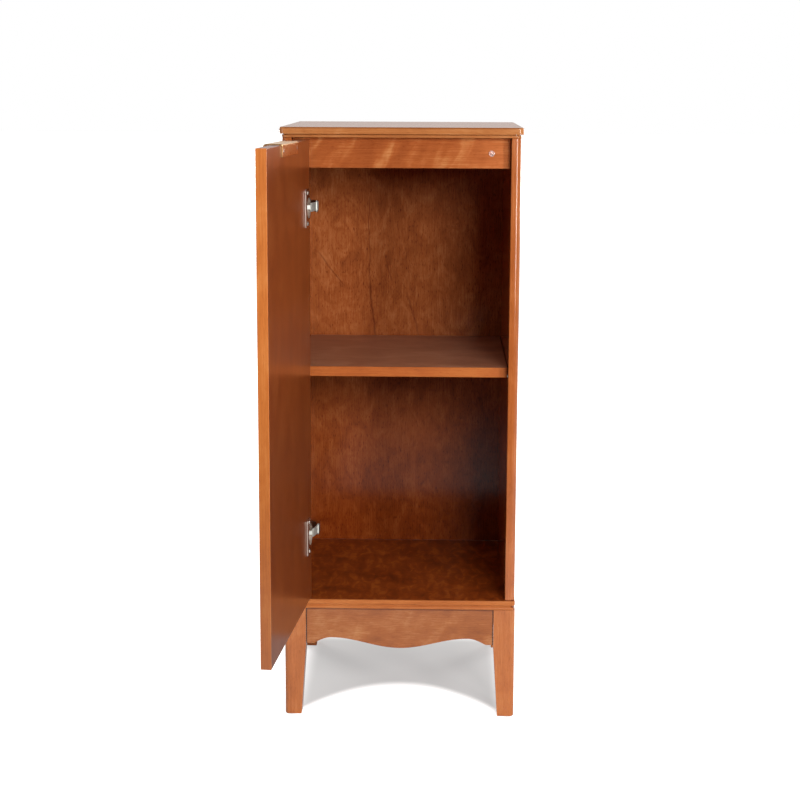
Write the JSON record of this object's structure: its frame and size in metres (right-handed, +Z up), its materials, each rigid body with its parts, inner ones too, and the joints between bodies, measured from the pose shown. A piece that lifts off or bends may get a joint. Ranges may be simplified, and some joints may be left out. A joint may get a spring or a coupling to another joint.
{
  "type": "linen cabinet",
  "caption": "Narrow wooden cabinet on tapered legs with scalloped aprons, an open side-hung door on concealed hinges, one shelf and an edge pull.",
  "frame": {"origin": "on the floor, under the middle of the box round the whole cabinet with its door open", "axes": "+Z up, -Y out of the cabinet's front, +X to the right seen from the front; the door hangs on the left side and rests fully open, on its hinges' stop"},
  "size_m": [0.3838, 0.6901, 0.965],
  "materials": {
    "case_wood": "cherry-stained veneer and solid wood under semi-gloss lacquer",
    "door_wood": "cherry-stained veneer with upright grain under semi-gloss lacquer",
    "back_wood": "cherry-stained veneer on thin board, satin lacquer",
    "plain_wood": "stained hidden wood, matt",
    "brass_sheet": "satin brass sheet",
    "plated_steel": "nickel-plated steel, smooth",
    "clear_rubber": "clear soft bumper"
  },
  "bodies": {
    "cabinet": {"top_board": "case_wood", "base_board": "case_wood", "side_left": "case_wood", "side_right": "case_wood", "back_panel": "back_wood", "top_rail": "case_wood", "rear_rail": "plain_wood", "shelf": "case_wood", "shelf_pin_front_left": "plated_steel", "shelf_pin_front_right": "plated_steel", "shelf_pin_rear_left": "plated_steel", "shelf_pin_rear_right": "plated_steel", "front_apron": "case_wood", "rear_apron": "case_wood", "left_apron": "case_wood", "right_apron": "case_wood", "leg_front_left": "case_wood", "leg_front_right": "case_wood", "leg_rear_left": "case_wood", "leg_rear_right": "case_wood", "corner_block_front_left": "plain_wood", "corner_block_front_right": "plain_wood", "corner_block_rear_left": "plain_wood", "corner_block_rear_right": "plain_wood", "door_bumper": "clear_rubber", "hinge_arm_upper": "plated_steel", "hinge_arm_lower": "plated_steel", "hinge_plate_upper": "plated_steel", "hinge_plate_lower": "plated_steel"},
    "door": {"door_panel": "door_wood", "edge_pull": "brass_sheet", "hinge_cup_upper": "plated_steel", "hinge_cup_lower": "plated_steel"},
    "upper_link": {"hinge_link_upper": "plated_steel"},
    "lower_link": {"hinge_link_lower": "plated_steel"}
  },
  "joints": [
    {"name": "door_hinge", "type": "hinge", "parent": "cabinet", "child": "door", "pos_m": [-0.16166, -0.0126, 0.57675], "axis": [0, 0, 1], "range_deg": [0, 95.2]},
    {"name": "upper_link_pivot", "type": "hinge", "parent": "cabinet", "child": "upper_link", "pos_m": [-0.13454, 0.0103, 0.8398], "axis": [0, 0, -1], "range_deg": [0, 44.09]},
    {"name": "lower_link_pivot", "type": "hinge", "parent": "cabinet", "child": "lower_link", "pos_m": [-0.13454, 0.0103, 0.3117], "axis": [0, 0, -1], "range_deg": [0, 44.09]}
  ],
  "couplings": [
    {"joint": "upper_link_pivot", "follows": "door_hinge", "ratio": 0.46308},
    {"joint": "lower_link_pivot", "follows": "door_hinge", "ratio": 0.46308}
  ]
}
